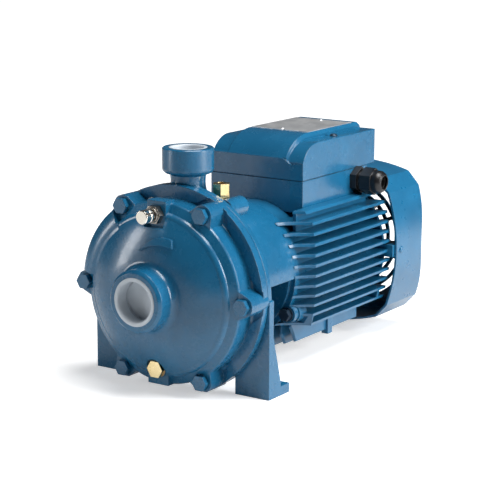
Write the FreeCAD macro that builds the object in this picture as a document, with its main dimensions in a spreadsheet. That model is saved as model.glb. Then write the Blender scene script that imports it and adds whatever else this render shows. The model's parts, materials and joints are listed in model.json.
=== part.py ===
import FreeCAD
import Part
import math
import os

import Sketcher
from FreeCAD import Placement, Rotation, Vector

# Close-coupled two-stage centrifugal pump with its electric motor, millimetres.
# The origin lies on the base plane, midway between the two foot bolts. +Y runs along the shaft from the
# suction port to the fan, +X is to the right seen from the suction side, and +Z is up.
# "Radius, station" outlines give a distance from the shaft's axis and a place along +Y.

DRIVING_SIZES = [
    # casing, feet and ports
    ("shaft_height", 88.4),
    ("suction_face", -86.1),
    ("port_outer", 28.0),
    ("suction_thread", 19.48),
    ("suction_thread_end", -73.2),
    ("dome_root", 34.0),
    ("dome_edge", 73.5),
    ("shelf_radius", 81.3),
    ("flange_radius", 94.0),
    ("flange_front", -28.0),
    ("parting", -19.5),
    ("flange_back", -12.5),
    ("flat_height", 6.0),
    ("chamber_radius", 75.0),
    ("chamber_rear", -13.0),
    ("screw_circle", 85.6),
    ("lug_radius", 9.5),
    ("lug_face", -45.8),
    ("foot_outer", 95.5),
    ("foot_inner", 60.0),
    ("foot_plate", 7.5),
    ("foot_rear", 13.5),
    ("foot_thickness", 8.5),
    ("bolt_offset", 77.5),
    ("bolt_hole", 4.5),
    ("discharge_station", -6.5),
    ("discharge_top", 213.5),
    ("discharge_boss", 23.0),
    ("discharge_thread", 15.15),
    ("lantern_radius", 64.0),
    ("lantern_rear", 79.0),
    # shaft line
    ("journal", 7.0),
    ("bearing_bore", 8.5),
    ("bearing_outer", 20.0),
    ("bearing_width", 12.0),
    ("impeller_radius", 62.0),
    ("eye_radius", 21.0),
    ("running_gap", 0.2),
    # motor
    ("frame_radius", 62.0),
    ("frame_bore", 57.5),
    ("frame_rear", 221.0),
    ("fin_reach", 77.0),
    ("fin_pitch", 9.5),
    ("fin_thickness", 2.6),
    ("outline_curve", 145.0),
    ("core_front", 104.0),
    ("core_rear", 184.0),
    ("rotor_radius", 32.0),
    ("cover_front", 225.0),
    ("cover_rear", 286.0),
    ("cover_reach", 85.0),
    ("cover_wall", 2.0),
    # terminal box
    ("box_half", 51.0),
    ("box_front", 103.6),
    ("box_rear", 222.0),
    ("lid_rear", 236.6),
    ("box_floor", 141.8),
    ("box_seam", 172.0),
    ("lid_shelf", 205.5),
    ("platform_top", 211.4),
    ("platform_half", 35.5),
    ("lid_wall", 2.2),
    ("gland_station", 201.0),
    ("gland_height", 160.0),
]


class Size:
    """A size that carries its value and the sheet expression that gives it."""

    def __init__(self, value, text):
        self.value = value
        self.text = text

    def join(self, sign, other, value, swapped=False):
        other_text = other.text if isinstance(other, Size) else f"({float(other)!r})"
        first, second = (other_text, self.text) if swapped else (self.text, other_text)
        return Size(value, f"({first} {sign} {second})")

    def __float__(self):
        return self.value

    def __add__(self, other):
        return self.join("+", other, self.value + float(other))

    def __radd__(self, other):
        return self.join("+", other, float(other) + self.value, swapped=True)

    def __sub__(self, other):
        return self.join("-", other, self.value - float(other))

    def __rsub__(self, other):
        return self.join("-", other, float(other) - self.value, swapped=True)

    def __mul__(self, other):
        return self.join("*", other, self.value * float(other))

    def __rmul__(self, other):
        return self.join("*", other, float(other) * self.value, swapped=True)

    def __truediv__(self, other):
        return self.join("/", other, self.value / float(other))

    def __neg__(self):
        return Size(-self.value, f"(0 - {self.text})")


doc = FreeCAD.newDocument("Pump")
sheet = doc.addObject("Spreadsheet::Sheet", "Sizes")
SIZE = {}
for line_number, (alias, number) in enumerate(DRIVING_SIZES, 1):
    sheet.set(f"A{line_number}", alias)
    sheet.set(f"B{line_number}", str(number))
    sheet.setAlias(f"B{line_number}", alias)
    SIZE[alias] = Size(number, f"Sizes.{alias}")
doc.recompute()

H = SIZE["shaft_height"]
PARTING = SIZE["parting"]
NODES = {}

# ---------------------------------------------------------------- building blocks

# rotations that turn a local Z, or a turned piece's local Y, to the named direction
FROM_Z = {
    "+X": Rotation(Vector(0, 1, 0), 90),
    "-X": Rotation(Vector(0, 1, 0), -90),
    "+Y": Rotation(Vector(1, 0, 0), -90),
    "-Y": Rotation(Vector(1, 0, 0), 90),
    "+Z": Rotation(),
    "-Z": Rotation(Vector(1, 0, 0), 180),
}
FROM_Y = {
    "+X": Rotation(Vector(0, 0, 1), -90),
    "+Y": Rotation(),
    "-Y": Rotation(Vector(0, 0, 1), 180),
    "+Z": Rotation(Vector(1, 0, 0), 90),
}
FRONT_VIEW = Rotation(Vector(1, 0, 0), 90)
SIDE_VIEW = Rotation(Vector(1, 1, 1), 120)
PLAN_VIEW = Rotation()


def bind(thing, name, value):
    """Sets a property, through the sheet when the value comes from it."""
    if isinstance(value, Size):
        thing.setExpression(name, value.text)
    elif hasattr(thing, name):
        setattr(thing, name, value)


PLACES = {}


def place(thing, at, rotation=None):
    """Puts an object at a point, each coordinate bound to the sheet where it comes from it."""
    PLACES[thing.Name] = at
    thing.Placement = Placement(Vector(*[float(value) for value in at]), rotation or Rotation())
    for axis, value in zip("xyz", at):
        bind(thing, f"Placement.Base.{axis}", value)
    return thing


def polar(radius, degrees):
    """X and height above the shaft of a point at this radius and angle, counted from +X towards +Z."""
    angle = math.radians(degrees)
    return radius * round(math.cos(angle), 12), radius * round(math.sin(angle), 12)


def node(label, thing):
    """Names a finished piece."""
    thing.Label = label
    NODES[label] = thing
    return thing


def draw(sketch, outline):
    """Draws a closed outline, every corner tied to the sketch's origin.

    A corner is (across, along), or (across, along, across, along) for an arc that reaches the first point
    through the second.
    """
    corners = [Vector(float(corner[0]), float(corner[1]), 0) for corner in outline]
    edges = []
    for index, corner in enumerate(outline):
        start, end = corners[index - 1], corners[index]
        if len(corner) == 2:
            edges.append((sketch.addGeometry(Part.LineSegment(start, end), False), 1, 2))
            continue
        middle = Vector(float(corner[2]), float(corner[3]), 0)
        number = sketch.addGeometry(Part.Arc(start, middle, end), False)
        left_turn = (middle - start).cross(end - start).z > 0
        edges.append((number, 1, 2) if left_turn else (number, 2, 1))
        sketch.addConstraint(Sketcher.Constraint("Radius", number, sketch.Geometry[number].Radius))
    for index, (number, _, end) in enumerate(edges):
        after, after_start, _ = edges[(index + 1) % len(edges)]
        sketch.addConstraint(Sketcher.Constraint("Coincident", number, end, after, after_start))
        for kind, value, axis in (("DistanceX", outline[index][0], -2), ("DistanceY", outline[index][1], -1)):
            if abs(float(value)) < 1e-9:
                sketch.addConstraint(Sketcher.Constraint("PointOnObject", number, end, axis))
                continue
            tie = sketch.addConstraint(Sketcher.Constraint(kind, -1, 1, number, end, float(value)))
            bind(sketch, f"Constraints[{tie}]", value)


def sketched_body(name, outline):
    """A body with one sketch on its own XY plane."""
    body = doc.addObject("PartDesign::Body", name)
    plane = next(item for item in body.Origin.OriginFeatures if item.Role == "XY_Plane")
    sketch = body.newObject("Sketcher::SketchObject", name + "_outline")
    sketch.AttachmentSupport = [(plane, "")]
    sketch.MapMode = "FlatFace"
    draw(sketch, outline)
    return body, sketch


def turned(name, outline, at=(0, 0, H), towards="+Y", sweep=360):
    """A piece turned about its axis from an outline of (radius, station) corners."""
    body, sketch = sketched_body(name, outline)
    feature = body.newObject("PartDesign::Revolution", name + "_turn")
    feature.Profile = sketch
    feature.ReferenceAxis = (sketch, ["V_Axis"])
    feature.Angle = sweep
    sketch.Visibility = False
    return place(body, at, FROM_Y[towards])


def padded(name, outline, length, at, rotation=PLAN_VIEW):
    """A flat outline, padded along the local Z of its rotation."""
    body, sketch = sketched_body(name, outline)
    feature = body.newObject("PartDesign::Pad", name + "_pad")
    feature.Profile = sketch
    bind(feature, "Length", length)
    sketch.Visibility = False
    return place(body, at, rotation)


def cylinder(name, radius, length, at, towards="+Y"):
    piece = doc.addObject("Part::Cylinder", name)
    bind(piece, "Radius", radius)
    bind(piece, "Height", length)
    return place(piece, at, FROM_Z[towards])


def hexagon(name, across_flats, length, at, towards="+Y"):
    piece = doc.addObject("Part::Prism", name)
    piece.Polygon = 6
    bind(piece, "Circumradius", across_flats / math.sqrt(3))
    bind(piece, "Height", length)
    return place(piece, at, FROM_Z[towards])


def block(name, low, high):
    """A box between two corners."""
    piece = doc.addObject("Part::Box", name)
    for side, start, end in zip(("Length", "Width", "Height"), low, high):
        bind(piece, side, end - start)
    return place(piece, low)


def fused(name, pieces):
    result = doc.addObject("Part::MultiFuse", name)
    result.Shapes = pieces
    return result


def without(name, base, tools):
    """The base with the tools cut away."""
    result = doc.addObject("Part::Cut", name)
    result.Base = base
    result.Tool = tools[0] if len(tools) == 1 else fused(name + "_tools", tools)
    return result


def shared(name, first, second):
    result = doc.addObject("Part::Common", name)
    result.Base = first
    result.Tool = second
    return result


def group(name, pieces):
    """Separate solids kept as one node."""
    result = doc.addObject("Part::Compound", name)
    result.Links = pieces
    return result


def around_shaft(thing, degrees):
    """Turns an object about the shaft's axis, the angle running from +X towards +Z."""
    across, station, height = PLACES.get(thing.Name, (0.0, 0.0, 0.0))
    rise = height - H
    cosine, sine = polar(1.0, degrees)
    turn = Rotation(Vector(0, 1, 0), -degrees)
    at = (across * cosine - rise * sine, station, H + across * sine + rise * cosine)
    return place(thing, at, turn * thing.Placement.Rotation)


# ---------------------------------------------------------------- wet end

LUG_ANGLES = [0, 60, 120, 180, 240, 300]
PARTING_BEVEL = 0.6
HEX_HEAD = 5.3
SCREW_RADIUS = 4.0
VENT_SEAT, VENT_RISE = -53.5, 72.4
DRAIN_SEAT, DRAIN_HEIGHT = -52.5, 21.7
PRIMING_PLACE, PRIMING_SEAT = (30.0, 2.0), 167.0
PRIMING_WASHER = 8.6


def front_casing():
    """Domed front half: suction port, shelf, six lugs, raised sector pads and the vent and drain bosses."""
    face = SIZE["suction_face"]
    shell = turned("front_shell", [
        (21.5, face),
        (25.4, face),
        (SIZE["port_outer"], face + 2.6),
        (SIZE["port_outer"], face + 14.6),
        (SIZE["dome_root"], face + 19.9, SIZE["port_outer"] + 1.9, face + 18.2),
        (SIZE["dome_edge"] - 3.5, face + 32.4, 54.0, face + 24.5),
        (SIZE["dome_edge"] + 1.0, face + 36.6, SIZE["dome_edge"] - 0.4, face + 34.0),
        (SIZE["shelf_radius"], SIZE["lug_face"]),
        (SIZE["shelf_radius"] + 0.9, SIZE["lug_face"] + 1.6),
        (SIZE["shelf_radius"] + 0.9, SIZE["flange_front"] - 1.6),
        (SIZE["shelf_radius"] + 3.4, SIZE["flange_front"] + 1.6, SIZE["shelf_radius"] + 1.6, -27.2),
        (SIZE["flange_radius"], SIZE["flange_front"] + 1.6),
        (SIZE["flange_radius"], PARTING - PARTING_BEVEL),
        (SIZE["flange_radius"] - PARTING_BEVEL, PARTING),
        (SIZE["chamber_radius"], PARTING),
        (SIZE["chamber_radius"], -42.5),
        (69.0, -46.0),
        (27.0, -58.5),
        (27.0, -54.0),
        (SIZE["eye_radius"] + SIZE["running_gap"], -54.0),
        (SIZE["eye_radius"] + SIZE["running_gap"], -62.5),
        (17.5, -62.5),
        (17.5, SIZE["suction_thread_end"] + 3.5),
        (21.2, SIZE["suction_thread_end"] + 3.5),
        (21.2, SIZE["suction_thread_end"]),
        (SIZE["suction_thread"], SIZE["suction_thread_end"]),
        (SIZE["suction_thread"], face + 1.2),
    ])
    solids = [shell]
    lug_width, lug_root = SIZE["lug_radius"] * 2, 14.5
    tip = SIZE["lug_radius"]
    flank, reach = polar(float(tip), 30)
    for angle in LUG_ANGLES:
        lug = padded(f"lug_{angle}", [
            (SIZE["shelf_radius"] - 5.0, -lug_root),
            (SIZE["screw_circle"] + reach, -flank),
            (SIZE["screw_circle"] + reach, flank, SIZE["screw_circle"] + tip, 0),
            (SIZE["shelf_radius"] - 5.0, lug_root),
        ], PARTING - SIZE["lug_face"], (0, PARTING, H), FRONT_VIEW)
        solids.append(around_shaft(lug, angle))
    # raised pads on the flange's face between the lugs
    for angle in [lug + 30 for lug in LUG_ANGLES]:
        inner, outer = 84.4, float(SIZE["flange_radius"])
        corners = [polar(inner, -17), polar(outer, -23.5), polar(outer, 23.5), polar(inner, 17)]
        pad = padded(f"sector_pad_{angle}", [
            corners[0],
            corners[1],
            (*corners[2], outer, 0),
            corners[3],
        ], PARTING - PARTING_BEVEL - SIZE["flange_front"], (0, PARTING - PARTING_BEVEL, H), FRONT_VIEW)
        solids.append(around_shaft(pad, angle))
    # the fuller cheek of the suction side, between the upper left lug and the left one
    cheek = turned("cheek", [
        (60.0, -57.0),
        (SIZE["dome_edge"] - 3.5, -54.6),
        (84.3, -50.8, 80.0, -53.2),
        (87.0, -45.0, 86.2, -49.0),
        (SIZE["shelf_radius"] + 7.0, -27.0),
        (78.0, -27.0),
        (78.0, -44.0),
        (60.0, -50.5),
    ], sweep=46)
    solids.append(around_shaft(cheek, 172.5))
    vent_pad = block("vent_pad", (-10.0, VENT_SEAT, H + 63.0), (10.0, -40.0, H + 84.0))
    drain_boss = block("drain_boss", (-11.0, DRAIN_SEAT, SIZE["flat_height"] + 1.0), (11.0, -40.0, H - 55.0))
    arrow = rotation_arrow()
    whole = fused("front_whole", solids + [vent_pad, drain_boss, arrow])
    cuts = [
        block("front_flat", (-120.0, -100.0, -20.0), (120.0, 0.0, SIZE["flat_height"])),
        block("vent_flat", (-10.0, -75.0, H + 61.0), (10.0, VENT_SEAT, H + 100.0)),
        cylinder("vent_tapping", 5.0, 24.0, (0.0, -59.0, H + VENT_RISE)),
        cylinder("drain_tapping", 5.0, 20.0, (0.0, -58.0, DRAIN_HEIGHT)),
        cylinder("drain_spotface", 9.6, 12.0, (0.0, DRAIN_SEAT - 12.0, DRAIN_HEIGHT)),
    ]
    # the pads, lugs and cheek stay outside the chamber
    cuts.append(turned("front_chamber", [
        (0, PARTING + 1.0), (0, -44.0), (60.0, -47.4), (69.0, -45.9), (SIZE["chamber_radius"], -42.4),
        (SIZE["chamber_radius"], PARTING + 1.0),
    ]))
    for angle in LUG_ANGLES:
        hole = cylinder(f"screw_hole_{angle}", SCREW_RADIUS + 0.4, 30.0, (SIZE["screw_circle"], -48.0, H))
        cuts.append(around_shaft(hole, angle))
        seat = cylinder(f"screw_seat_{angle}", 8.0, 20.0, (SIZE["screw_circle"], SIZE["lug_face"] - 20.0, H))
        cuts.append(around_shaft(seat, angle))
    node("front_casing", without("front_casing", whole, cuts))


def rotation_arrow():
    """Raised plain crescent above the suction port that tells the sense of rotation; it follows the dome."""
    face, proud = SIZE["suction_face"], 2.2
    outline = padded("arrow_outline", [
        (-9.5, 40.7, 8.5, 47.3),
        (22.5, 53.0, 6.3, 52.8),
        (24.0, 45.8),
    ], 20.0, (0.0, -52.0, H), FRONT_VIEW)
    skin = turned("arrow_skin", [
        (SIZE["dome_root"], -57.5),
        (SIZE["dome_root"], face + 19.9 - proud),
        (SIZE["dome_edge"] - 3.5, face + 32.4 - proud, 54.0, face + 24.5 - proud),
    ])
    return shared("arrow", outline, skin)


def casing_screws():
    screws = []
    for angle in LUG_ANGLES:
        screw = turned(f"screw_{angle}", [
            (0, SIZE["lug_face"]),
            (6.4, SIZE["lug_face"]),
            (6.4, SIZE["lug_face"] - 0.6),
            (0, SIZE["lug_face"] - 0.6),
        ], (SIZE["screw_circle"], 0, H))
        head = hexagon(f"head_{angle}", 13.0, HEX_HEAD - 0.6, (SIZE["screw_circle"], SIZE["lug_face"] - HEX_HEAD, H))
        shank = cylinder(f"shank_{angle}", SCREW_RADIUS, 33.0, (SIZE["screw_circle"], SIZE["lug_face"], H))
        whole = fused(f"casing_screw_{angle}", [screw, head, shank])
        screws.append(around_shaft(whole, angle))
    node("casing_screws", group("casing_screws", screws))


def rear_casing():
    """Rear half in one casting with the feet, the discharge port and the lantern that carries the motor."""
    radius, rear = SIZE["lantern_radius"], SIZE["lantern_rear"]
    shell = turned("rear_shell", [
        (SIZE["flange_radius"] - PARTING_BEVEL, PARTING),
        (SIZE["flange_radius"], PARTING + PARTING_BEVEL),
        (SIZE["flange_radius"], SIZE["flange_back"] - 1.5),
        (SIZE["flange_radius"] - 1.5, SIZE["flange_back"]),
        (radius + 5.0, SIZE["flange_back"]),
        (radius, SIZE["flange_back"] + 5.0, radius + 1.4, SIZE["flange_back"] + 1.4),
        (radius, rear),
        (radius - 5.0, rear),
        (radius - 5.0, rear - 3.0),
        (SIZE["bearing_outer"], rear - 3.0),
        (SIZE["bearing_outer"], 60.0),
        (12.0, 60.0),
        (12.0, 56.0),
        (25.0, 56.0),
        (25.0, rear - 10.0),
        (radius - 5.0, rear - 10.0),
        (radius - 5.0, -5.0),
        (24.0, -5.0),
        (24.0, 5.0),
        (10.0, 5.0),
        (10.0, 2.5),
        (14.0, 2.5),
        (14.0, -5.5),
        (20.0, -5.5),
        (20.0, SIZE["chamber_rear"]),
        (SIZE["chamber_radius"], SIZE["chamber_rear"]),
        (SIZE["chamber_radius"], PARTING),
    ])
    back_wall = turned("back_wall", [
        (58.0, SIZE["chamber_rear"]), (SIZE["chamber_radius"] + 3.0, SIZE["chamber_rear"]),
        (SIZE["chamber_radius"] + 3.0, -8.5), (radius + 2.0, -5.0), (58.0, -5.0),
    ])
    solids = [shell, back_wall]
    for side in (-1, 1):
        solids.append(foot(side))
    solids += discharge_neck()
    for angle in (60, 120):
        boss = cylinder(f"rear_boss_{angle}", 9.0, 13.0 - SIZE["flange_back"],
                        (SIZE["screw_circle"], SIZE["flange_back"], H))
        solids.append(around_shaft(boss, angle))
    # boss of the priming plug
    solids.append(cylinder("priming_boss", 11.0, PRIMING_SEAT - 51.0 - H, (*PRIMING_PLACE, H + 51.0), "+Z"))
    for side in (-1, 1):
        solids.append(motor_ear(side, rear))
    whole = fused("rear_whole", solids)
    cuts = [
        block("rear_flat", (-SIZE["foot_inner"] + 4.0, -30.0, -20.0),
              (SIZE["foot_inner"] - 4.0, 30.0, SIZE["flat_height"])),
        cylinder("discharge_bore", 11.5, 45.0, (0.0, SIZE["discharge_station"], H + 66.0), "+Z"),
        turned("discharge_thread", [
            (0, 0), (17.2, 0), (SIZE["discharge_thread"], -1.3), (SIZE["discharge_thread"], -13.0),
            (16.8, -13.0), (16.8, -16.5), (11.5, -16.5), (11.5, -20.0), (0, -20.0),
        ], (0, SIZE["discharge_station"], SIZE["discharge_top"]), "+Z"),
        cylinder("priming_spotface", PRIMING_WASHER + 0.6, 20.0, (*PRIMING_PLACE, PRIMING_SEAT), "+Z"),
        cylinder("priming_tapping", 6.6, 26.0, (*PRIMING_PLACE, H + 60.0), "+Z"),
        cylinder("priming_passage", 3.0, 16.0, (PRIMING_PLACE[0], SIZE["chamber_rear"] - 1.0, H + 65.0)),
        cylinder("pump_chamber", SIZE["chamber_radius"], 8.0, (0, SIZE["chamber_rear"] - 8.0, H)),
        turned("ring_groove", [(76.5, PARTING), (78.8, PARTING), (78.8, PARTING + 2.3), (76.5, PARTING + 2.3)]),
        turned("lantern_cavity", [(26.0, -4.9), (radius - 5.0, -4.9), (radius - 5.0, 69.0), (26.0, 69.0)]),
    ]
    for angle in LUG_ANGLES:
        tapping = cylinder(f"tapping_{angle}", SCREW_RADIUS, 8.0, (SIZE["screw_circle"], PARTING, H))
        cuts.append(around_shaft(tapping, angle))
    # side windows of the lantern
    for side in (-1, 1):
        window = block(f"window_{side}", (30.0 if side > 0 else -80.0, -3.0, 41.0),
                       (80.0 if side > 0 else -30.0, rear - 7.0, H - 1.0))
        plate_kept = cylinder(f"plate_kept_{side}", radius - 5.1, 90.0, (0, -5.0, H))
        cuts.append(without(f"window_cut_{side}", window, [plate_kept]))
        cuts.append(cylinder(f"foot_hole_{side}", SIZE["bolt_hole"], 14.0, (side * SIZE["bolt_offset"], 0.0, -2.0), "+Z"))
        ear_x, ear_z = polar(EAR_CIRCLE, EAR_ANGLES[side])
        cuts.append(cylinder(f"ear_hole_{side}", 3.3, 20.0, (ear_x, rear - 15.0, H + ear_z)))
    node("rear_casing", without("rear_casing", whole, cuts))


EAR_CIRCLE = 66.0
EAR_ANGLES = {1: -33, -1: 213}


def foot(side):
    """One foot: a front plate that hangs from the flange, a side gusset and a base lug."""
    inner, outer = SIZE["foot_inner"], SIZE["foot_outer"]
    plate = padded(f"foot_plate_{side}", [
        (side * inner, 4.0),
        (side * (inner + 4.0), 0.0, side * (inner + 1.2), 1.2),
        (side * (outer - 3.0), 0.0),
        (side * outer, 3.0, side * (outer - 0.9), 0.9),
        (side * outer, H),
        (side * 80.0, H + 6.0),
        (side * inner, H - 60.0),
    ], SIZE["flange_back"] - PARTING, (0, SIZE["flange_back"], 0), FRONT_VIEW)
    gusset = padded(f"foot_gusset_{side}", [
        (PARTING + 1.0, 0.2),
        (-0.6, 0.2),
        (-0.6, 12.8),
        (-14.5, 62.0),
        (PARTING + 1.0, H - 6.0),
    ], 6.0, (outer - 6.0 if side > 0 else -outer, 0, 0), SIDE_VIEW)
    low_x, high_x = (inner, outer) if side > 0 else (-outer, -inner)
    lug = block(f"foot_lug_{side}", (low_x, PARTING, 0), (high_x, SIZE["foot_rear"], SIZE["foot_thickness"]))
    return fused(f"foot_{side}", [plate, gusset, lug])


def discharge_neck():
    """Vertical port boss on a short neck that flares into the back of the flange."""
    boss_radius = SIZE["discharge_boss"]
    neck = turned("neck", [
        (0, 0),
        (boss_radius - 0.8, 0),
        (boss_radius, -0.8),
        (boss_radius, -18.5),
        (boss_radius - 4.5, -23.0, boss_radius - 1.3, -21.7),
        (16.0, -24.5, 16.9, -23.4),
        (15.6, -29.0),
        (20.5, -46.0, 16.6, -38.0),
        (27.0, -73.0),
        (0, -73.0),
    ], (0, SIZE["discharge_station"], SIZE["discharge_top"]), "+Z")
    trim = block("neck_trim", (-60.0, -60.0, 100.0), (60.0, PARTING, H + SIZE["flange_radius"] + 0.4))
    return [without("neck_trimmed", neck, [trim])]


def motor_ear(side, rear):
    x, z = polar(EAR_CIRCLE, EAR_ANGLES[side])
    return cylinder(f"lantern_ear_{side}", 8.5, 7.0, (x, rear - 7.0, H + z))


def casing_seal():
    """O-ring between the two casing halves, squeezed flat into its groove."""
    node("casing_o_ring", turned("casing_o_ring", [
        (76.5, PARTING), (78.8, PARTING), (78.8, PARTING + 2.3), (76.5, PARTING + 2.3),
    ]))


# ---------------------------------------------------------------- hydraulics

def impeller(label, eye_front, back):
    """Closed impeller: a front shroud with an eye, seven backward-curved vanes, a back shroud and a hub."""
    tip, eye = SIZE["impeller_radius"], SIZE["eye_radius"]
    front_shroud = turned(label + "_front", [
        (eye - 2.5, eye_front),
        (eye, eye_front),
        (eye, eye_front + 7.0),
        (tip, back - 7.0),
        (tip, back - 5.2),
        (eye, eye_front + 9.2),
        (eye - 2.5, eye_front + 9.0),
    ])
    back_shroud = turned(label + "_back", [
        (SIZE["journal"], back - 12.5),
        (11.0, back - 12.5),
        (13.0, back - 4.0),
        (20.0, back - 2.2),
        (tip, back - 2.2),
        (tip, back),
        (SIZE["journal"], back),
    ])
    vanes = []
    inner_radius, outer_radius, sweep = 20.0, 61.5, 95.0
    steps = 5
    for number in range(7):
        start = number * 360 / 7
        spine = [
            Vector(*polar(inner_radius + (outer_radius - inner_radius) * step / steps,
                          start + sweep * (step / steps) ** 0.8), 0)
            for step in range(steps + 1)
        ]
        left, right = [], []
        for index, point in enumerate(spine):
            ahead = spine[min(index + 1, steps)] - spine[max(index - 1, 0)]
            side = Vector(-ahead.y, ahead.x, 0).normalize() * 1.1
            left.append(point + side)
            right.append(point - side)
        corners = [(corner.x, corner.y) for corner in left + right[::-1]]
        vane = padded(f"{label}_vane_{number}", corners, float(back) - 1.5 - (float(eye_front) + 7.5),
                      (0, back - 1.5, H), FRONT_VIEW)
        vanes.append(vane)
    # the vanes end against the front shroud's inner face
    envelope = turned(label + "_envelope", [
        (0, eye_front + 8.5), (eye, eye_front + 8.5), (tip - 0.2, back - 6.2), (tip - 0.2, back - 1.0), (0, back - 1.0),
    ])
    blades = shared(label + "_blades", fused(label + "_vanes", vanes), envelope)
    whole = fused(label + "_whole", [front_shroud, back_shroud, blades])
    keyway = block(label + "_keyway", (-2.0, back - 13.0, H + 4.0), (2.0, back + 1.0, H + 9.0))
    node(label, without(label, whole, [keyway]))


def stage_plate():
    """Return plate between the stages: a blind front disc, vanes that lead inwards and a rear disc."""
    front = turned("stage_front", [
        (11.3, -34.5), (67.0, -34.5), (67.0, -32.5), (11.3, -32.5),
    ])
    rear_disc = turned("stage_rear", [
        (SIZE["eye_radius"] + SIZE["running_gap"], -29.0), (SIZE["chamber_radius"] - 0.1, -29.0),
        (SIZE["chamber_radius"] - 0.1, SIZE["chamber_rear"]), (SIZE["chamber_radius"] - 2.0, SIZE["chamber_rear"]),
        (SIZE["chamber_radius"] - 2.0, -26.8), (SIZE["eye_radius"] + SIZE["running_gap"], -26.8),
    ])
    vanes = []
    for number in range(6):
        vane = block(f"return_vane_{number}", (26.0, -33.0, H - 1.0), (70.0, -28.5, H + 1.0))
        vanes.append(around_shaft(vane, number * 60 + 12))
    node("stage_plate", fused("stage_plate", [front, rear_disc] + vanes))


def shaft_line():
    """Shaft and everything that turns with it in the wet end."""
    journal, bore = SIZE["journal"], SIZE["bearing_bore"]
    shaft = turned("shaft_blank", [
        (0, -59.0), (4.0, -59.0), (4.0, -46.8), (journal, -46.8), (journal, 6.0), (bore, 6.0), (bore, 72.0),
        (12.0, 72.0), (12.0, 204.0), (7.5, 204.0), (7.5, 216.0), (6.0, 216.0), (6.0, 246.0), (0, 246.0),
    ])
    shaft_slot = block("shaft_keyway", (-2.0, -46.0, H + 4.0), (2.0, -14.0, H + 9.0))
    node("shaft", without("shaft", shaft, [shaft_slot]))
    node("impeller_key", block("impeller_key", (-2.0, -46.0, H + 4.0), (2.0, -14.0, H + 8.9)))
    spacer = turned("spacer_blank", [(journal, -36.0), (11.0, -36.0), (11.0, -26.5), (journal, -26.5)])
    spacer_slot = block("spacer_keyway", (-2.0, -37.0, H + 4.0), (2.0, -26.0, H + 9.0))
    node("impeller_spacer", without("impeller_spacer", spacer, [spacer_slot]))
    node("impeller_washer", turned("impeller_washer", [
        (4.0, -49.5), (10.0, -49.5), (10.0, -48.5), (4.0, -48.5),
    ]))
    nut = hexagon("nut_blank", 13.0, 7.0, (0.0, -56.5, H))
    node("impeller_nut", without("impeller_nut", nut, [cylinder("nut_bore", 4.0, 9.0, (0.0, -57.5, H))]))
    node("water_slinger", turned("water_slinger", [
        (bore, 20.0), (12.0, 20.0), (12.0, 22.5), (19.0, 23.0), (19.0, 25.0), (12.0, 25.5), (12.0, 28.0), (bore, 28.0),
    ]))


def shaft_seal():
    """Mechanical seal: a seat pressed into the casing, a turning head and its spring."""
    node("seal_seat", turned("seal_seat", [
        (8.2, -5.4), (13.95, -5.4), (13.95, 2.4), (8.2, 2.4),
    ]))
    node("seal_head", turned("seal_head", [
        (SIZE["journal"], -9.5), (13.0, -9.5), (13.0, -7.5), (10.5, -7.5), (10.5, -5.4), (SIZE["journal"] + 1.2, -5.4),
        (SIZE["journal"] + 1.2, -7.0), (SIZE["journal"], -7.0),
    ]))
    node("seal_spring", turned("seal_spring", [
        (11.0, -13.4), (12.6, -13.4), (12.6, -9.5), (11.0, -9.5),
    ]))


def bearing(label, station, bore, outer, width):
    """Deep-groove ball bearing: two grooved races, and eight balls in a cage."""
    mean, ball, rim = (bore + outer) / 2, (outer - bore) * 0.30, (outer - bore) * 0.26
    middle, track = station + width / 2, ball + 0.02
    half_groove = math.sqrt(track ** 2 - (mean - bore - rim) ** 2)

    def race(name, wall, shoulder, deepest):
        node(name, turned(name, [
            (wall, station),
            (shoulder, station),
            (shoulder, middle - half_groove),
            (shoulder, middle + half_groove, deepest, middle),
            (shoulder, station + width),
            (wall, station + width),
        ]))

    race(f"{label}_inner_race", bore, bore + rim, mean - track)
    race(f"{label}_outer_race", outer, outer - rim, mean + track)
    half_cage = ball + 1.1
    ring = turned(f"{label}_cage_ring", [
        (mean - 0.5, middle - half_cage), (mean + 0.5, middle - half_cage),
        (mean + 0.5, middle + half_cage), (mean - 0.5, middle + half_cage),
    ])
    balls, pockets = [], []
    for number in range(8):
        sphere = doc.addObject("Part::Sphere", f"{label}_ball_{number}")
        sphere.Radius = ball
        across, rise = polar(mean, number * 45)
        balls.append(place(sphere, (across, middle, H + rise)))
        pocket = cylinder(f"{label}_pocket_{number}", ball + 0.05, 8.0, (mean - 4.0, middle, H), "+X")
        pockets.append(around_shaft(pocket, number * 45))
    cage = without(f"{label}_cage", ring, pockets)
    node(f"{label}_balls_and_cage", group(f"{label}_balls_and_cage", [cage] + balls))


# ---------------------------------------------------------------- motor

def squircle(side, top, side_corner, top_corner):
    """Closed outline round the shaft: bowed sides and a bowed top and bottom, with straight cut corners.

    side_corner is the (x, z) end of a bowed side, and top_corner that of the bowed top.
    """
    (sx, sz), (tx, tz) = side_corner, top_corner
    return [
        (sx, -sz),
        (sx, sz, side, 0),
        (tx, tz),
        (-tx, tz, 0, top),
        (-sx, sz),
        (-sx, -sz, -side, 0),
        (-tx, -tz),
        (tx, -tz, 0, -top),
    ]


CABLE_WAY, CABLE_WAY_RADIUS = (-18.0, 192.0), 7.0
FIN_OVERRUN = 6.0
SHIELD_RADIUS = 72.0


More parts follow.
